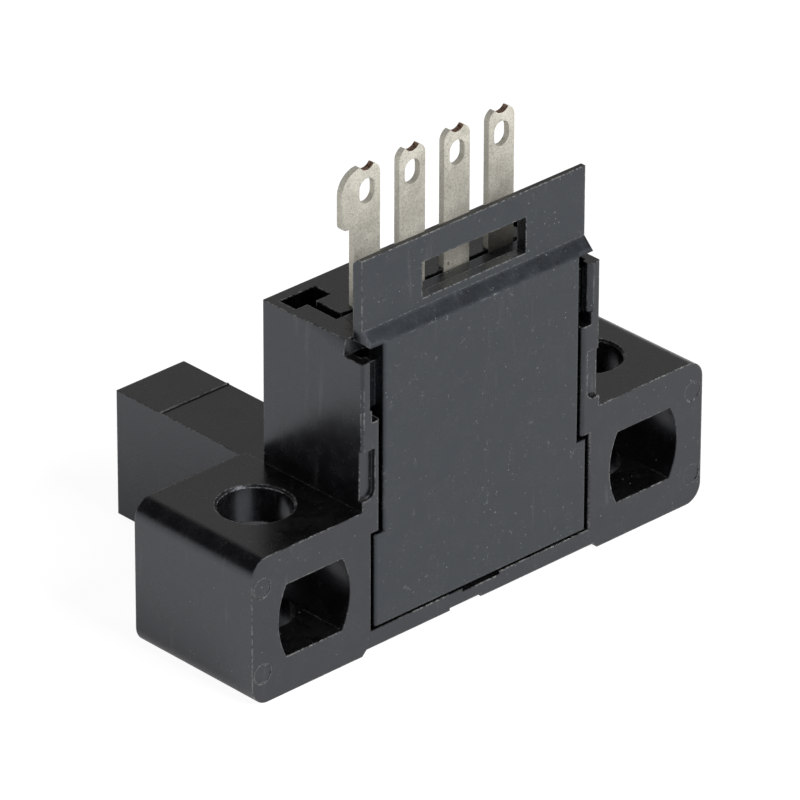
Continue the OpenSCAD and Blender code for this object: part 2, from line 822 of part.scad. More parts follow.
module solder_joints() {
    color("#bfc0bd") {
        lead_places(emitter_side, emitter_lead_rows) lead_solder();
        lead_places(receiver_side, receiver_lead_rows) lead_solder();
        for (i = [0:TERMINALS - 1]) translate([terminal_x(i), 0, 0]) both_sides() foot_solder();
    }
}

housing();
rear_cover();
for (i = [0:TERMINALS - 1]) terminal(i);
circuit_board();
emitter();
emitter_leads();
receiver();
receiver_leads();
emitter_window();
receiver_window();
indicator_led();
indicator_window();
output_transistor();
transistor_leads();
chip_resistors();
chip_capacitor();
solder_joints();
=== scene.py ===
"""Looks of a slotted optical switch: black mouldings, tinned terminals and the electronics inside.

Lengths below are in millimetres and become metres through MM. The frame is the CAD frame: X from ear to
ear, Y from the cover to the fork tips, Z up.
"""

import math

import bmesh
import bpy
import numpy as np
from mathutils import Matrix, Vector


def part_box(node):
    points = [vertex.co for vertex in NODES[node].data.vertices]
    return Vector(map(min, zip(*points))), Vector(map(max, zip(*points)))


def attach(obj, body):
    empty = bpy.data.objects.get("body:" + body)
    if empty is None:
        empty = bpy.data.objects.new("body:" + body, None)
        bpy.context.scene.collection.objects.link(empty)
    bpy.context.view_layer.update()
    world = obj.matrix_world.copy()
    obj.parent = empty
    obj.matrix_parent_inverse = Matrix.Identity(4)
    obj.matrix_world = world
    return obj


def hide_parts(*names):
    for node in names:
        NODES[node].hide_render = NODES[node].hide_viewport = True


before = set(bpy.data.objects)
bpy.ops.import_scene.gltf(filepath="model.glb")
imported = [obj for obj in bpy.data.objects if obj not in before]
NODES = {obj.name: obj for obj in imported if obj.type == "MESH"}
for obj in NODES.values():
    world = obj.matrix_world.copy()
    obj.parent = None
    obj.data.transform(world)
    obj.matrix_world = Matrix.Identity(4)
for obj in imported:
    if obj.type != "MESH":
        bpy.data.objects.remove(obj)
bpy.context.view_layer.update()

MM = 0.001

# Camera of the photograph: direction in degrees, distance, point in the middle of the picture, and scale
VIEW_AZIMUTH = 43.452
VIEW_ELEVATION = 28.447
VIEW_ROLL = -0.170
VIEW_DISTANCE = 370.77
VIEW_CENTRE = (0.282, 1.689, 7.404)
VIEW_CLIP = (10.0, 10000.0)
PICTURE_WIDTH = 800
PIXELS_PER_MM = 23.873
SENSOR_WIDTH = 36.0

# Edges: radius over which light sees them rounded, and turn from which they stay sharp
HOUSING_EDGE = 0.09
COVER_EDGE = 0.13
SLOPE_EDGE = 0.24
BLADE_EDGE = 0.04
EDGE_ANGLE = math.radians(30)
MERGE_DISTANCE = 1e-5
IMPORTED_SHADING = ("custom_normal", "sharp_edge", "sharp_face")

# Upward part of a face's normal: level faces have more than LEVEL, slanted ones more than SLANTED
LEVEL = 0.95
SLANTED = 0.3

# Cover: height at which the panel ends, and depth of the band at the top that is its rim
PANEL_TOP = 12.5
RIM_BAND = 0.1

# Rib across the arms that marks the beam: its place and half width
MARK_Y = 9.32
MARK_HALF = 0.15

# Terminals: half width of a blade, and half width and depth of the break at its tip
TERMINAL_COUNT = 4
BLADE_HALF = 0.73
BREAK_HALF = 0.38
BREAK_DEPTH = 0.3

# Chip parts: X of their middles, and half length of the body between its plated caps
CHIP_CENTRES = (1.1, 3.3)
CHIP_BODY_HALF = 0.4

# Copper on the front of the board: section of a track, radii of a pad, and their places as (x, z)
TRACK_WIDTH = 0.5
TRACK_HEIGHT = 0.035
TRACK_SLOPE = 0.04
TRACK_SINK = 0.005
PAD_RADII = (0.22, 0.25, 0.66, 0.70)
TRACK_PATHS = (
    ((-3.81, 9.84), (-3.81, 9.0), (-4.61, 8.2), (-4.61, 4.5)),
    ((-1.27, 9.84), (-1.27, 9.3), (-2.40, 8.2)),
    ((-1.45, 5.9), (-1.45, 5.4), (-0.60, 4.55), (0.0, 4.55), (0.46, 5.0), (0.46, 6.0)),
    ((-3.35, 5.9), (-3.35, 3.2), (-4.61, 1.95)),
    ((1.27, 9.84), (1.27, 9.2), (0.46, 8.4), (0.46, 8.1)),
    ((1.74, 7.78), (2.66, 7.78)),
    ((1.74, 6.38), (2.66, 6.38)),
    ((3.81, 9.84), (3.81, 9.2), (3.94, 9.0), (3.94, 8.1)),
    ((3.94, 6.0), (3.94, 5.2), (4.61, 4.5)),
    ((4.61, 3.22), (3.2, 3.22), (1.74, 4.7), (1.74, 6.0)),
    ((4.61, 1.95), (0.2, 1.95), (-1.45, 3.6), (-1.45, 5.4)),
)
PAD_PLACES = ((-4.61, 1.955), (-4.61, 4.495), (4.61, 1.955), (4.61, 3.225), (4.61, 4.495))

# Floor: radius of its level part, its raised rim, and how far it lies under the part
FLOOR_RADIUS = 700.0
RIM_RADIUS = 1100.0
RIM_HEIGHT = 190.0
FLOOR_DROP = 0.02

# Light from the floor: share of light given back, and added glow, by the kind of ray that meets it
BOUNCE_SHARE = 0.75
SEEN_SHARE = 0.18
SEEN_GLOW = 0.92
MIRRORED_SHARE = 0.9
MIRRORED_GLOW = 0.25

# Lamps: place, width and height, and power in watts
LAMPS = {
    "key": ((150, -650, 530), (500, 500), 8.0),
    "left_card": ((-600, -150, 260), (400, 400), 1.6),
    "edge_strip": ((480, -610, 170), (500, 200), 0.5),
    "top_card": ((0, 120, 900), (700, 700), 0.5),
    "back_card": ((470, 500, 370), (520, 420), 0.23),
    "front_card": ((560, -430, 580), (640, 640), 0.06),
}
LAMP_AIM = (0.0, 0.0, 8.0)
WORLD_TONE = (0.05, 0.05, 0.052)


# Node helpers

VALUE = "NodeSocketFloat"
VECTOR = "NodeSocketVector"


def add(tree, kind, inputs=None, **settings):
    """A node of a tree, with its settings and its inputs, which are values or linked sockets."""
    node = tree.nodes.new(kind)
    for key, value in settings.items():
        setattr(node, key, value)
    for key, value in (inputs or {}).items():
        if isinstance(value, bpy.types.NodeSocket):
            tree.links.new(value, node.inputs[key])
        else:
            node.inputs[key].default_value = value
    return node


def maths(tree, operation, a, b=0.0, c=0.0, clamp=False):
    """Result of one arithmetic step on one to three values or sockets."""
    return add(tree, "ShaderNodeMath", {0: a, 1: b, 2: c}, operation=operation, use_clamp=clamp).outputs[0]


def times(tree, first, *others):
    """Product of values or sockets."""
    for other in others:
        first = maths(tree, "MULTIPLY", first, other)
    return first


def remap(tree, value, low, high, to_low=0.0, to_high=1.0):
    """Value taken from the range low..high to to_low..to_high, clamped, with soft ends."""
    inputs = {"Value": value, "From Min": low, "From Max": high, "To Min": to_low, "To Max": to_high}
    return add(tree, "ShaderNodeMapRange", inputs, interpolation_type="SMOOTHSTEP").outputs["Result"]


def blend(tree, factor, a, b):
    """Colour a where the factor is 0 and colour b where it is 1."""
    return add(tree, "ShaderNodeMix", {0: factor, 6: a, 7: b}, data_type="RGBA").outputs[2]


def tone(red, green, blue):
    """Opaque linear colour."""
    return (red, green, blue, 1.0)


def noise(tree, place, per_mm, detail=3.0, rough=0.55):
    """Cloudy noise with about per_mm features in a millimetre."""
    inputs = {"Vector": place, "Scale": per_mm / MM, "Detail": detail, "Roughness": rough}
    return add(tree, "ShaderNodeTexNoise", inputs).outputs["Fac"]


def drawn_upright(tree, place, z_scale):
    """Object coordinates scaled along Z, so that a pattern is drawn out into upright marks."""
    return add(tree, "ShaderNodeMapping", {"Vector": place, "Scale": (1.0, 1.0, z_scale)}).outputs["Vector"]


def new_group(name, inputs, outputs):
    """Empty shader node group with named sockets; returns the tree, its input sockets and its sink."""
    tree = bpy.data.node_groups.new(name, "ShaderNodeTree")
    for key, kind in inputs.items():
        tree.interface.new_socket(name=key, in_out="INPUT", socket_type=kind)
    for key, kind in outputs.items():
        tree.interface.new_socket(name=key, in_out="OUTPUT", socket_type=kind)
    source = tree.nodes.new("NodeGroupInput")
    sink = tree.nodes.new("NodeGroupOutput")
    return tree, source.outputs, sink


def use_group(tree, group, inputs):
    """A group placed in a material with its own values; returns its outputs."""
    return add(tree, "ShaderNodeGroup", inputs, node_tree=group).outputs


# Effects that several materials share


def spark_grain_group():
    """Grain of an eroded mould. Height is fine pits, and Patch a slow unevenness from 0 to 1."""
    inputs = {"Place": VECTOR, "Pits per mm": VALUE}
    tree, given, sink = new_group("spark_grain", inputs, {"Height": VALUE, "Patch": VALUE})
    pattern = {"Vector": given["Place"], "Scale": maths(tree, "DIVIDE", given["Pits per mm"], MM)}
    pits = add(tree, "ShaderNodeTexVoronoi", pattern, feature="SMOOTH_F1").outputs["Distance"]
    fine = add(tree, "ShaderNodeTexNoise", {**pattern, "Detail": 4.0}).outputs["Fac"]
    patch = noise(tree, given["Place"], per_mm=0.9, detail=4.0, rough=0.6)
    tree.links.new(maths(tree, "ADD", times(tree, pits, 0.6), fine), sink.inputs["Height"])
    tree.links.new(remap(tree, patch, 0.35, 0.7), sink.inputs["Patch"])
    return tree


def dust_group():
    """Pale specks and lint, thicker in some places than in others.

    Mask is bright on uneven round dots in a Share of the cells of a cell pattern. Lint is 1 along short
    curls, which are the middle line of a noise, kept where a second noise is high.
    """
    inputs = {"Place": VECTOR, "Cells per mm": VALUE, "Share": VALUE}
    tree, given, sink = new_group("dust", inputs, {"Mask": VALUE, "Lint": VALUE})
    place = given["Place"]
    scale = maths(tree, "DIVIDE", given["Cells per mm"], MM)
    cells = add(tree, "ShaderNodeTexVoronoi", {"Vector": place, "Scale": scale}).outputs
    pick = add(tree, "ShaderNodeSeparateColor", {"Color": cells["Color"]}).outputs
    clusters = remap(tree, noise(tree, place, per_mm=0.35), 0.38, 0.64, to_low=0.1, to_high=1.5)
    chosen = maths(tree, "LESS_THAN", pick["Red"], times(tree, given["Share"], clusters))
    wobble = noise(tree, place, per_mm=6.0, detail=2.0)
    reach = times(tree, maths(tree, "MULTIPLY_ADD", pick["Green"], 0.2, 0.08), wobble)
    inside = remap(tree, maths(tree, "SUBTRACT", reach, cells["Distance"]), -0.02, 0.03)
    middle = maths(tree, "SUBTRACT", noise(tree, place, per_mm=3.6, detail=2.0), 0.5)
    curl = remap(tree, maths(tree, "ABSOLUTE", middle), 0.022, 0.006)
    spans = remap(tree, noise(tree, place, per_mm=2.2, detail=1.0), 0.64, 0.72)
    tree.links.new(times(tree, chosen, inside, pick["Blue"]), sink.inputs["Mask"])
    tree.links.new(times(tree, curl, spans), sink.inputs["Lint"])
    return tree


def rub_group():
    """Faint marks rubbed along one direction. Mask is 1 along a mark."""
    tree, given, sink = new_group("rub_marks", {"Place": VECTOR, "Marks per mm": VALUE}, {"Mask": VALUE})
    scale = maths(tree, "DIVIDE", given["Marks per mm"], MM)
    pattern = {"Vector": given["Place"], "Scale": scale, "Detail": 5.0}
    marks = remap(tree, add(tree, "ShaderNodeTexNoise", pattern).outputs["Fac"], 0.60, 0.72)
    patches = remap(tree, noise(tree, given["Place"], per_mm=0.35, detail=2.0), 0.45, 0.62)
    tree.links.new(times(tree, marks, patches), sink.inputs["Mask"])
    return tree


def mottle_group():
    """Mottling of plated metal: cloudy patches with fine grain. Cloud and Grain are values from 0 to 1."""
    inputs = {"Place": VECTOR, "Clouds per mm": VALUE}
    tree, given, sink = new_group("plating_mottle", inputs, {"Cloud": VALUE, "Grain": VALUE})
    scale = maths(tree, "DIVIDE", given["Clouds per mm"], MM)
    pattern = {"Vector": given["Place"], "Scale": scale, "Detail": 6.0}
    cloud = add(tree, "ShaderNodeTexNoise", pattern).outputs["Fac"]
    grain = noise(tree, given["Place"], per_mm=14.0, rough=0.65)
    tree.links.new(remap(tree, cloud, 0.3, 0.7), sink.inputs["Cloud"])
    tree.links.new(remap(tree, grain, 0.3, 0.7), sink.inputs["Grain"])
    return tree


def rounded_edges_group():
    """Rounded light on sharp edges: Normal turns over within Radius of an edge, and Mask is 1 there.

    The mask needs open space round a point, so that inner corners and hollows get neither scuffs nor painted
    highlight.
    """
    tree, given, sink = new_group("rounded_edges", {"Radius": VALUE}, {"Normal": VECTOR, "Mask": VALUE})
    rounded = add(tree, "ShaderNodeBevel", {"Radius": given["Radius"]}, samples=3).outputs["Normal"]
    flat = tree.nodes.new("ShaderNodeNewGeometry").outputs["Normal"]
    pair = {0: rounded, 1: flat}
    alike = add(tree, "ShaderNodeVectorMath", pair, operation="DOT_PRODUCT").outputs["Value"]
    reach = {"Distance": times(tree, given["Radius"], 4.0)}
    room = add(tree, "ShaderNodeAmbientOcclusion", reach, samples=3, only_local=True).outputs["AO"]
    mask = times(tree, remap(tree, alike, 0.995, 0.92), remap(tree, room, 0.72, 0.95))
    tree.links.new(rounded, sink.inputs["Normal"])
    tree.links.new(mask, sink.inputs["Mask"])
    return tree


SPARK_GRAIN = spark_grain_group()
ROUNDED_EDGES = rounded_edges_group()
DUST = dust_group()
RUB_MARKS = rub_group()
MOTTLE = mottle_group()


# Materials

BLACK = tone(0.0015, 0.0015, 0.0018)
HAZE = tone(0.008, 0.008, 0.0084)
DUST_GREY = tone(0.14, 0.14, 0.137)
# Pale grey of scuffs and rubbing, also painted on edges as a highlight where light would catch them
WEAR_AND_HIGHLIGHT_GREY = tone(0.32, 0.32, 0.31)
RUB_GREY = tone(0.028, 0.028, 0.029)

# Tints of the gloss on the plastic
COOL = tone(0.80, 0.89, 1.0)
NEUTRAL = tone(0.82, 0.865, 0.95)
WARM = tone(1.0, 0.985, 0.95)

# Tin plating, the marks on it, and the copper under it
TIN_LIGHT = tone(0.69, 0.665, 0.585)
TIN_DULL = tone(0.58, 0.555, 0.485)
TIN_DRAWN = tone(0.42, 0.40, 0.35)
TIN_SMUDGE = tone(0.38, 0.36, 0.30)
TIN_SPECK = tone(0.20, 0.19, 0.16)
TIN_STAIN = tone(0.15, 0.14, 0.11)
COPPER_DEEP = tone(0.11, 0.065, 0.045)
COPPER_LIGHT = tone(0.42, 0.28, 0.20)

# Gloss strength of the plastic and of its rubbed rib
PLASTIC_SPECULAR = 0.72
RIB_SPECULAR = 0.6
EPOXY_IOR = 1.52
EPOXY_GLOSS = 0.12


def new_material(name, **sockets):
    """Material with a Principled shader; sockets are its plain inputs, with _ for a space in their names."""
    material = bpy.data.materials.new(name)
    material.use_nodes = True
    tree = material.node_tree
    shader = tree.nodes["Principled BSDF"]
    for key, value in sockets.items():
        shader.inputs[key.replace("_", " ")].default_value = value
    place = tree.nodes.new("ShaderNodeTexCoord").outputs["Object"]
    return material, tree, shader, place


def link_surface(tree, shader, colour, rough, height, depth, normal=None):
    """Links colour and roughness, and a bump of the given depth in millimetres from a height."""
    bump = add(tree, "ShaderNodeBump", {"Height": height, "Strength": 1.0, "Distance": depth * MM})
    if normal is not None:
        tree.links.new(normal, bump.inputs["Normal"])
    tree.links.new(colour, shader.inputs["Base Color"])
    tree.links.new(rough, shader.inputs["Roughness"])
    tree.links.new(bump.outputs["Normal"], shader.inputs["Normal"])


def moulded_plastic(name, *, edge, tint, gloss, grain_depth, pits_per_mm, dust, lint, rub, spread):
    """Black moulded plastic: grain, hazy mottling, pale dust and lint, faint rubbed marks, and edges painted
    pale as scuffs and as a painted highlight.

    dust, lint and rub say how much of those marks there is, and spread how much of the edges is painted
    pale, as scuffs and as highlight.
    """
    material, tree, shader, place = new_material(
        name, Specular_IOR_Level=PLASTIC_SPECULAR, Specular_Tint=tint
    )
    grain = use_group(tree, SPARK_GRAIN, {"Place": place, "Pits per mm": pits_per_mm})
    edges = use_group(tree, ROUNDED_EDGES, {"Radius": edge * MM})
    fallen = use_group(tree, DUST, {"Place": place, "Cells per mm": 4.0, "Share": dust})
    upright = drawn_upright(tree, place, z_scale=0.12)
    marks = use_group(tree, RUB_MARKS, {"Place": upright, "Marks per mm": 2.6})["Mask"]
    broken = remap(tree, noise(tree, place, per_mm=5.0, detail=5.0, rough=0.7), 0.42, 0.58)
    stretches = remap(tree, noise(tree, place, per_mm=0.5, detail=2.0), 0.58 - spread, 0.72 - spread)
    # Edges painted pale: partly scuffs, partly a painted highlight where light would catch the rounded edges
    worn_and_highlit = times(tree, edges["Mask"], broken, stretches)
    specks = maths(tree, "MULTIPLY_ADD", fallen["Lint"], lint, fallen["Mask"], clamp=True)
    pale = maths(tree, "MAXIMUM", worn_and_highlit, specks)
    haze = times(tree, remap(tree, grain["Height"], 0.55, 1.1), remap(tree, grain["Patch"], 0.0, 0.8))
    hazed = blend(tree, haze, BLACK, HAZE)
    rubbed = blend(tree, times(tree, marks, rub), hazed, RUB_GREY)
    dusty = blend(tree, specks, rubbed, DUST_GREY)
    # Painted highlight and scuffs: the edge mask turns the colour pale grey
    colour = blend(tree, worn_and_highlit, dusty, WEAR_AND_HIGHLIGHT_GREY)
    dull = maths(tree, "MULTIPLY_ADD", grain["Patch"], 0.05, gloss)
    rough = maths(tree, "MULTIPLY_ADD", pale, 0.3, dull, clamp=True)
    height = maths(tree, "MULTIPLY_ADD", specks, 2.0, grain["Height"])
    link_surface(tree, shader, colour, rough, height, depth=grain_depth, normal=edges["Normal"])
    return material


def tinned_metal(name, gloss):
    """Tin plating over a stamped strip: warm grey, mottled and speckled, with small dark marks."""
    material, tree, shader, place = new_material(name, Metallic=0.7)
    mottle = use_group(tree, MOTTLE, {"Place": place, "Clouds per mm": 1.1})
    edges = use_group(tree, ROUNDED_EDGES, {"Radius": BLADE_EDGE * MM})
    stains = use_group(tree, DUST, {"Place": place, "Cells per mm": 1.5, "Share": 0.5})["Mask"]
    streak = noise(tree, drawn_upright(tree, place, z_scale=0.15), per_mm=1.6)
    streaks = remap(tree, streak, 0.55, 0.75, to_low=0.0, to_high=0.4)
    smudge = noise(tree, place, per_mm=0.8, detail=4.0, rough=0.6)
    smudges = times(tree, remap(tree, smudge, 0.54, 0.72), 0.5)
    speck = noise(tree, place, per_mm=13.0, rough=0.7)
    specks = times(tree, remap(tree, speck, 0.44, 0.72), 0.55)
    plated = blend(tree, mottle["Cloud"], TIN_LIGHT, TIN_DULL)
    drawn = blend(tree, streaks, plated, TIN_DRAWN)
    smudged = blend(tree, smudges, drawn, TIN_SMUDGE)
    speckled = blend(tree, specks, smudged, TIN_SPECK)
    colour = blend(tree, stains, speckled, TIN_STAIN)
    rough = remap(tree, mottle["Grain"], 0.0, 1.0, to_low=gloss, to_high=gloss + 0.12)
    link_surface(tree, shader, colour, rough, mottle["Grain"], depth=0.008, normal=edges["Normal"])
    return material


def plain_plated(name, light, gloss, deep_share=0.75):
    """Plated lead or solder: even metal with a fine mottled grain, deeper in tone in cloudy patches."""
    material, tree, shader, place = new_material(name, Metallic=1.0)
    mottle = use_group(tree, MOTTLE, {"Place": place, "Clouds per mm": 2.0})
    deep = [deep_share * part for part in light]
    colour = blend(tree, mottle["Cloud"], tone(*light), tone(*deep))
    rough = remap(tree, mottle["Grain"], 0.0, 1.0, to_low=gloss, to_high=gloss + 0.15)
    link_surface(tree, shader, colour, rough, mottle["Grain"], depth=0.002)
    return material


def copper_break(name):
    """Torn copper where a blade was broken from its strip: brown, rough and uneven."""
    material, tree, shader, place = new_material(name, Metallic=1.0)
    tear = noise(tree, place, per_mm=9.0, detail=5.0, rough=0.7)
    colour = blend(tree, remap(tree, tear, 0.35, 0.65), COPPER_DEEP, COPPER_LIGHT)
    rough = remap(tree, tear, 0.3, 0.7, to_low=0.4, to_high=0.7)
    link_surface(tree, shader, colour, rough, tear, depth=0.03)
    return material


def worn_rib(name):
    """Raised mark rubbed pale along its top: broken grey over the black."""
    material, tree, shader, place = new_material(name, Specular_IOR_Level=RIB_SPECULAR)
    rubbed = remap(tree, noise(tree, place, per_mm=3.5, detail=5.0, rough=0.7), 0.38, 0.62)
    colour = blend(tree, rubbed, HAZE, WEAR_AND_HIGHLIGHT_GREY)
    rough = remap(tree, rubbed, 0.0, 1.0, to_low=0.35, to_high=0.6)
    link_surface(tree, shader, colour, rough, rubbed, depth=0.01)
    return material


def board_lacquer(name, deep, light):
    """Green lacquer over woven glass cloth: fine weave in the bump and a cloudy tone."""
    material, tree, shader, place = new_material(name)
    threads = {"Vector": place, "Scale": 0.9 / MM, "Distortion": 0.4}
    warp = add(tree, "ShaderNodeTexWave", threads, bands_direction="X").outputs["Fac"]
    weft = add(tree, "ShaderNodeTexWave", threads, bands_direction="Z").outputs["Fac"]
    weave = times(tree, warp, weft)
    cloud = noise(tree, place, per_mm=0.8)
    colour = blend(tree, remap(tree, cloud, 0.3, 0.7), tone(*deep), tone(*light))
    rough = remap(tree, weave, 0.0, 1.0, to_low=0.28, to_high=0.4)
    link_surface(tree, shader, colour, rough, weave, depth=0.006)
    return material


def cast_epoxy(name, light, deep, clear):
    """Cast resin of a package or window: slow flow lines in its tone and a faint ripple."""
    material, tree, shader, place = new_material(name, Transmission_Weight=clear, IOR=EPOXY_IOR)
    flow = noise(tree, place, per_mm=0.7, detail=2.0)
    ripple = noise(tree, place, per_mm=2.5, detail=2.0)
    colour = blend(tree, remap(tree, flow, 0.3, 0.7), tone(*light), tone(*deep))
    rough = remap(tree, ripple, 0.3, 0.7, to_low=EPOXY_GLOSS, to_high=EPOXY_GLOSS + 0.08)
    link_surface(tree, shader, colour, rough, ripple, depth=0.004)
    return material


def fired_chip(name, light, deep, gloss):
    """Fired or pressed body of a small part: fine grain and a cloudy tone."""
    material, tree, shader, place = new_material(name)
    cloud = noise(tree, place, per_mm=3.0, detail=4.0)
    grain = noise(tree, place, per_mm=22.0)
    colour = blend(tree, remap(tree, cloud, 0.3, 0.7), tone(*light), tone(*deep))
    rough = remap(tree, grain, 0.3, 0.7, to_low=gloss, to_high=gloss + 0.15)
    link_surface(tree, shader, colour, rough, grain, depth=0.003)
    return material


# Finishes of this part

HOUSING_SMOOTH = moulded_plastic(
    "housing_smooth", edge=HOUSING_EDGE, tint=NEUTRAL, gloss=0.24, grain_depth=0.0012, pits_per_mm=9.0,
    dust=0.35, lint=0.1, rub=0.8, spread=0.20,
)
HOUSING_MATT = moulded_plastic(
    "housing_matt", edge=HOUSING_EDGE, tint=WARM, gloss=0.26, grain_depth=0.004, pits_per_mm=11.0,
    dust=0.35, lint=0.1, rub=0.4, spread=0.22,
)
COVER_SMOOTH = moulded_plastic(
    "cover_smooth", edge=COVER_EDGE, tint=COOL, gloss=0.24, grain_depth=0.0012, pits_per_mm=9.0,
    dust=0.6, lint=0.5, rub=0.35, spread=0.02,
)
# Flange and rim: more of their edges painted pale, partly rubbing and partly a painted highlight along the
# top edge
COVER_FLANGE = moulded_plastic(
    "cover_flange", edge=HOUSING_EDGE, tint=COOL, gloss=0.25, grain_depth=0.0016, pits_per_mm=9.0,
    dust=0.5, lint=0.3, rub=0.6, spread=0.33,
)
COVER_SLOPE = moulded_plastic(
    "cover_slope", edge=SLOPE_EDGE, tint=COOL, gloss=0.27, grain_depth=0.003, pits_per_mm=9.0,
    dust=0.6, lint=0.3, rub=0.3, spread=-0.05,
)
COVER_RIM = moulded_plastic(
    "cover_rim", edge=HOUSING_EDGE, tint=WARM, gloss=0.34, grain_depth=0.004, pits_per_mm=11.0,
    dust=0.8, lint=0.3, rub=0.6, spread=0.42,
)
TIN = tinned_metal("tinned_blade", gloss=0.55)
BREAK = copper_break("copper_break")
RIB = worn_rib("worn_rib")
BOARD = board_lacquer("board_lacquer", (0.02, 0.10, 0.035), (0.03, 0.14, 0.05))
TRACK = board_lacquer("track_lacquer", (0.06, 0.19, 0.06), (0.08, 0.23, 0.08))
EMITTER_RESIN = cast_epoxy("emitter_resin", (0.62, 0.70, 0.78), (0.52, 0.62, 0.72), clear=0.85)
RECEIVER_RESIN = cast_epoxy("receiver_resin", (0.020, 0.016, 0.026), (0.012, 0.010, 0.018), clear=0.0)
FILTER_PLASTIC = cast_epoxy("filter_plastic", (0.030, 0.006, 0.012), (0.018, 0.004, 0.008), clear=0.0)
INDICATOR_PLASTIC = cast_epoxy("indicator_plastic", (0.42, 0.02, 0.016), (0.30, 0.012, 0.010), clear=0.35)
LEAD_METAL = plain_plated("lead_metal", (0.62, 0.61, 0.58), gloss=0.3)
SOLDER_METAL = plain_plated("solder_metal", (0.66, 0.66, 0.65), gloss=0.26)
LAMP_CERAMIC = fired_chip("lamp_ceramic", (0.72, 0.68, 0.55), (0.64, 0.60, 0.46), gloss=0.4)
PACKAGE_BLACK = fired_chip("package_black", (0.014, 0.014, 0.015), (0.009, 0.009, 0.010), gloss=0.5)
CHIP_DARK = fired_chip("chip_dark", (0.016, 0.016, 0.018), (0.010, 0.010, 0.012), gloss=0.35)
CHIP_TAN = fired_chip("chip_tan", (0.36, 0.24, 0.12), (0.30, 0.19, 0.09), gloss=0.4)


# Pieces made from the CAD solids


def in_scene(name, data):
    """Object for a mesh, lamp or camera, linked into the scene."""
    holder = bpy.data.objects.new(name, data)
    bpy.context.scene.collection.objects.link(holder)
    return holder


def softened(node, name, materials):
    """Copy of a CAD solid with its doubles merged and its curved faces shaded as curves.

    The copy keeps the solid's form and stands for it. Edges that turn by more than EDGE_ANGLE stay sharp,
    and large faces hold the shading at the edges where they run into small ones.
    """
    mesh = NODES[node].data.copy()
    mesh.name = name
    work = bmesh.new()
    work.from_mesh(mesh)
    bmesh.ops.remove_doubles(work, verts=work.verts, dist=MERGE_DISTANCE * MM)
    work.to_mesh(mesh)
    work.free()
    for layer in [a for a in mesh.attributes if a.name in IMPORTED_SHADING]:
        mesh.attributes.remove(layer)
    mesh.materials.clear()
    for material in materials:
        mesh.materials.append(material)
    mesh.polygons.foreach_set("use_smooth", np.ones(len(mesh.polygons), bool))
    mesh.polygons.foreach_set("material_index", np.zeros(len(mesh.polygons), np.int32))
    mesh.set_sharp_from_angle(angle=EDGE_ANGLE)
    piece = in_scene(name, mesh)
    shading = piece.modifiers.new("shading", "WEIGHTED_NORMAL")
    shading.keep_sharp = True
    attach(piece, "root")
    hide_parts(node)
    return piece


def face_data(piece):
    """Centres and normals of a piece's faces, as two arrays of three columns."""
    faces = piece.data.polygons
    centres = np.empty(len(faces) * 3, np.float32)
    normals = np.empty(len(faces) * 3, np.float32)
    faces.foreach_get("center", centres)
    faces.foreach_get("normal", normals)
    return centres.reshape(-1, 3), normals.reshape(-1, 3)


def paint_faces(piece, chosen, material):
    """Gives the chosen faces one of the piece's materials."""
    faces = piece.data.polygons
    index = np.empty(len(faces), np.int32)
    faces.foreach_get("material_index", index)
    index[chosen] = piece.data.materials.find(material.name)
    faces.foreach_set("material_index", index)


def make_housing():
    """Housing: smooth sides, matt faces that look up, and the rubbed rib that marks the beam on the arms."""
    piece = softened("housing", "housing_moulding", [HOUSING_SMOOTH, HOUSING_MATT, RIB])
    centres, normals = face_data(piece)
    looks_up = normals[:, 2] > LEVEL
    on_rib = looks_up & (np.abs(centres[:, 1] - MARK_Y * MM) < MARK_HALF * MM)
    paint_faces(piece, looks_up, HOUSING_MATT)
    paint_faces(piece, on_rib, RIB)


def make_cover():
    """Snap-in cover: smooth panel, soft-edged grained slope, flange and rim with edges painted pale (rubbing
    and highlight).
    """
    finishes = [COVER_SMOOTH, COVER_FLANGE, COVER_SLOPE, COVER_RIM]
    piece = softened("rear_cover", "cover_moulding", finishes)
    _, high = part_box("rear_cover")
    centres, normals = face_data(piece)
    above_panel = centres[:, 2] > PANEL_TOP * MM
    looks_up = normals[:, 2] > LEVEL
    slanted = (normals[:, 2] > SLANTED) & ~looks_up
    paint_faces(piece, above_panel, COVER_FLANGE)
    paint_faces(piece, above_panel & slanted, COVER_SLOPE)
    paint_faces(piece, looks_up & (centres[:, 2] > high.z - RIM_BAND * MM), COVER_RIM)


def make_terminals():
    """Tinned blades. The concave break at each tip shows bare copper."""
    for number in range(1, TERMINAL_COUNT + 1):
        node = f"terminal_{number}"
        piece = softened(node, f"{node}_blade", [TIN, BREAK])
        _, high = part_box(node)
        centres, normals = face_data(piece)
        near_tip = centres[:, 2] > high.z - BREAK_DEPTH * MM
        in_break = np.abs(centres[:, 0] - (high.x - BLADE_HALF * MM)) < BREAK_HALF * MM
        paint_faces(piece, near_tip & in_break & (normals[:, 2] > SLANTED), BREAK)


def make_electronics():
    """Board and the parts on it, each with its own finish."""
    finishes = {
        "circuit_board": ("board", BOARD),
        "emitter": ("emitter_epoxy", EMITTER_RESIN),
        "receiver": ("receiver_epoxy", RECEIVER_RESIN),
        "emitter_leads": ("lead_metal", LEAD_METAL),
        "receiver_leads": ("lead_metal", LEAD_METAL),
        "transistor_leads": ("lead_metal", LEAD_METAL),
        "emitter_window": ("infrared_window", FILTER_PLASTIC),
        "receiver_window": ("infrared_window", FILTER_PLASTIC),
        "indicator_window": ("indicator_red", INDICATOR_PLASTIC),
        "indicator_led": ("indicator_chip", LAMP_CERAMIC),
        "output_transistor": ("package_black", PACKAGE_BLACK),
        "solder_joints": ("solder", SOLDER_METAL),
    }
    for node, (slot, material) in finishes.items():
        softened(node, f"{node}_piece", [material])


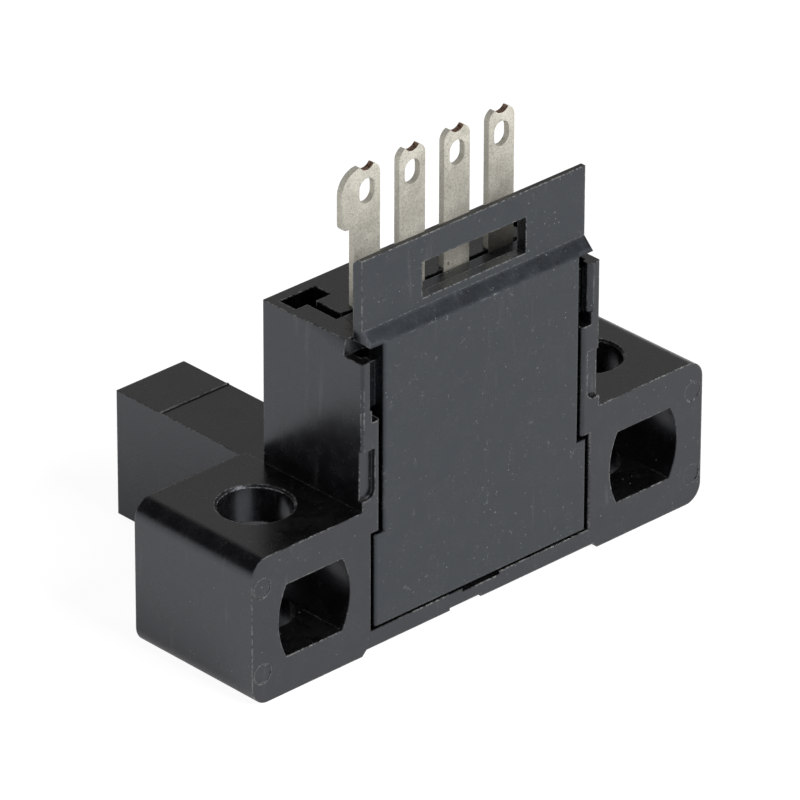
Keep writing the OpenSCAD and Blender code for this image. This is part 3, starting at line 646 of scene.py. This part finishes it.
def make_chips():
    """Chip parts with plated caps on both ends."""
    bodies = {"chip_resistors": ("chip_dark", CHIP_DARK), "chip_capacitor": ("chip_tan", CHIP_TAN)}
    for node, (slot, material) in bodies.items():
        piece = softened(node, f"{node}_piece", [material, LEAD_METAL])
        centres, _ = face_data(piece)
        from_middle = np.abs(centres[:, :1] - np.array(CHIP_CENTRES) * MM).min(axis=1)
        paint_faces(piece, from_middle > CHIP_BODY_HALF * MM, LEAD_METAL)


# Pieces that are computed

# Height of the four corners of a track's or pad's section above the board
COPPER_SECTION = np.array([-TRACK_SINK, TRACK_HEIGHT, TRACK_HEIGHT, -TRACK_SINK])


def track_surface(path, front):
    """Track of the board: a flat bar with sloped sides along (x, z) points, on the plane y = front.

    At each point the bar's section (a, h), a across and h out of the board, stands at
    x + a * m_x, front - h, z + a * m_z. m is the mitre: the mean of the side directions of the two
    segments that meet there, lengthened so that the bar keeps its width.
    """
    points = np.array(path, float)
    along = np.diff(points, axis=0)
    along /= np.linalg.norm(along, axis=1, keepdims=True)
    before = np.vstack([along[:1], along])
    after = np.vstack([along, along[-1:]])
    mean = before + after
    mean /= np.linalg.norm(mean, axis=1, keepdims=True)
    lengthened = 1.0 / (mean * after).sum(axis=1, keepdims=True)
    mitre = lengthened * np.stack([mean[:, 1], -mean[:, 0]], axis=1)
    half = TRACK_WIDTH / 2
    across = np.array([-half, -half + TRACK_SLOPE, half - TRACK_SLOPE, half])
    x = points[:, :1] + across * mitre[:, :1]
    z = points[:, 1:] + across * mitre[:, 1:]
    y = np.broadcast_to(front - COPPER_SECTION, x.shape)
    vertices = np.stack([x, y, z], axis=-1).reshape(-1, 3)
    count, sides = x.shape
    i, j = np.meshgrid(np.arange(count - 1), np.arange(sides), indexing="ij")
    beside = (j + 1) % sides
    quads = [i * sides + j, i * sides + beside, (i + 1) * sides + beside, (i + 1) * sides + j]
    first_end = np.arange(sides)[::-1]
    last_end = (count - 1) * sides + np.arange(sides)
    return vertices, np.vstack([np.stack(quads, axis=-1).reshape(-1, 4), first_end, last_end])


def pad_surface(place, front, spokes=48):
    """Ring round a lead: the section (r, h) turned about the lead, x + r cos t, front - h, z + r sin t."""
    turn = np.linspace(0.0, 2 * math.pi, spokes, endpoint=False)
    t, r = np.meshgrid(turn, np.array(PAD_RADII), indexing="ij")
    x = place[0] + r * np.cos(t)
    z = place[1] + r * np.sin(t)
    y = np.broadcast_to(front - COPPER_SECTION, r.shape)
    vertices = np.stack([x, y, z], axis=-1).reshape(-1, 3)
    sides = len(PAD_RADII)
    i, j = np.meshgrid(np.arange(spokes), np.arange(sides), indexing="ij")
    onward = (i + 1) % spokes
    beside = (j + 1) % sides
    quads = [i * sides + j, onward * sides + j, onward * sides + beside, i * sides + beside]
    return vertices, np.stack(quads, axis=-1).reshape(-1, 4)


def joined(surfaces):
    """Several surfaces as one array of points and one of faces, numbered on from each to the next."""
    points = [vertices for vertices, _ in surfaces]
    starts = np.cumsum([0] + [len(part) for part in points])
    faces = [start + quads for start, (_, quads) in zip(starts, surfaces)]
    return np.vstack(points), np.vstack(faces)


def make_tracks():
    """Lacquered copper tracks and lead pads on the front of the board."""
    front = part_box("circuit_board")[0].y / MM
    surfaces = [track_surface(path, front) for path in TRACK_PATHS]
    surfaces += [pad_surface(place, front) for place in PAD_PLACES]
    points, faces = joined(surfaces)
    mesh = bpy.data.meshes.new("board_tracks")
    mesh.from_pydata(points * MM, [], faces.tolist())
    work = bmesh.new()
    work.from_mesh(mesh)
    bmesh.ops.recalc_face_normals(work, faces=work.faces)
    work.to_mesh(mesh)
    work.free()
    mesh.materials.append(TRACK)
    piece = in_scene("board_tracks", mesh)
    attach(piece, "root")


# Studio


def floor_surface(rings=48, spokes=96):
    """Round floor that rises at its rim, as points of a polar grid.

    r runs from 0 to RIM_RADIUS. Height z = RIM_HEIGHT * s * s * (3 - 2 s) with
    s = (r - FLOOR_RADIUS) / (RIM_RADIUS - FLOOR_RADIUS) held between 0 and 1.
    """
    radius = RIM_RADIUS * np.linspace(0.0, 1.0, rings + 1)[1:]
    angle = np.linspace(0.0, 2 * math.pi, spokes, endpoint=False)
    r, a = np.meshgrid(radius, angle, indexing="ij")
    s = np.clip((r - FLOOR_RADIUS) / (RIM_RADIUS - FLOOR_RADIUS), 0.0, 1.0)
    ring_points = np.stack([r * np.cos(a), r * np.sin(a), RIM_HEIGHT * s * s * (3 - 2 * s)], axis=-1)
    points = np.vstack([np.zeros((1, 3)), ring_points.reshape(-1, 3)])
    i, j = np.meshgrid(np.arange(rings - 1), np.arange(spokes), indexing="ij")
    here = 1 + i * spokes + j
    beside = 1 + i * spokes + (j + 1) % spokes
    quads = np.stack([here, here + spokes, beside + spokes, beside], axis=-1).reshape(-1, 4)
    first = 1 + np.arange(spokes)
    fan = np.stack([np.zeros(spokes, int), first, 1 + first % spokes], axis=-1)
    return points - [0.0, 0.0, FLOOR_DROP], fan.tolist() + quads.tolist()


def floor_white():
    """White of the floor. Seen directly or in a reflection it glows, and it keeps the shadow."""
    material, tree, shader, _ = new_material(
        "floor_white", Roughness=0.9, Specular_IOR_Level=0.0, Emission_Color=tone(1.0, 1.0, 1.0)
    )
    path = tree.nodes.new("ShaderNodeLightPath").outputs
    seen = path["Is Camera Ray"]
    mirrored = maths(tree, "MAXIMUM", path["Is Glossy Ray"], path["Is Transmission Ray"])
    bounce_grey, seen_grey, mirrored_grey = [
        tone(share, share, share) for share in (BOUNCE_SHARE, SEEN_SHARE, MIRRORED_SHARE)
    ]
    colour = blend(tree, mirrored, blend(tree, seen, bounce_grey, seen_grey), mirrored_grey)
    glow = maths(tree, "MULTIPLY_ADD", mirrored, MIRRORED_GLOW, times(tree, seen, SEEN_GLOW))
    tree.links.new(colour, shader.inputs["Base Color"])
    tree.links.new(glow, shader.inputs["Emission Strength"])
    material.cycles.emission_sampling = "NONE"
    return material


def make_floor():
    """Pale floor under the part."""
    points, faces = floor_surface()
    mesh = bpy.data.meshes.new("floor")
    mesh.from_pydata(points * MM, [], faces)
    mesh.polygons.foreach_set("use_smooth", np.ones(len(mesh.polygons), bool))
    mesh.materials.append(floor_white())
    floor = in_scene("floor", mesh)


def make_light():
    """Soft key from the front, and dim cards around it that the faces and edges of the part mirror."""
    world = bpy.data.worlds.new("studio")
    world.use_nodes = True
    world.node_tree.nodes["Background"].inputs["Color"].default_value = tone(*WORLD_TONE)
    bpy.context.scene.world = world
    for name, (place, size, power) in LAMPS.items():
        lamp = bpy.data.lights.new(name, "AREA")
        lamp.shape = "RECTANGLE"
        lamp.size = size[0] * MM
        lamp.size_y = size[1] * MM
        lamp.energy = power
        holder = in_scene(name, lamp)
        holder.location = Vector(place) * MM
        holder.rotation_euler = (Vector(LAMP_AIM) - Vector(place)).to_track_quat("-Z", "Y").to_euler()


def make_camera():
    """Camera of the photograph, from its direction, distance and picture scale."""
    azimuth = math.radians(VIEW_AZIMUTH)
    elevation = math.radians(VIEW_ELEVATION)
    back = Vector((
        -math.sin(azimuth) * math.cos(elevation),
        -math.cos(azimuth) * math.cos(elevation),
        math.sin(elevation),
    ))
    right = Vector((math.cos(azimuth), -math.sin(azimuth), 0.0))
    turn = Matrix.Rotation(math.radians(-VIEW_ROLL), 3, back)
    axes = (turn @ right, turn @ back.cross(right), back)
    camera = bpy.data.cameras.new("camera")
    camera.sensor_width = SENSOR_WIDTH
    camera.lens = SENSOR_WIDTH * PIXELS_PER_MM * VIEW_DISTANCE / PICTURE_WIDTH
    camera.clip_start = VIEW_CLIP[0] * MM
    camera.clip_end = VIEW_CLIP[1] * MM
    holder = in_scene("camera", camera)
    holder.matrix_world = Matrix(axes).transposed().to_4x4()
    holder.location = (Vector(VIEW_CENTRE) + VIEW_DISTANCE * back) * MM
    bpy.context.scene.camera = holder


make_housing()
make_cover()
make_terminals()
make_electronics()
make_chips()
make_tracks()
make_floor()
make_light()
make_camera()
bpy.context.scene.view_settings.view_transform = "Standard"
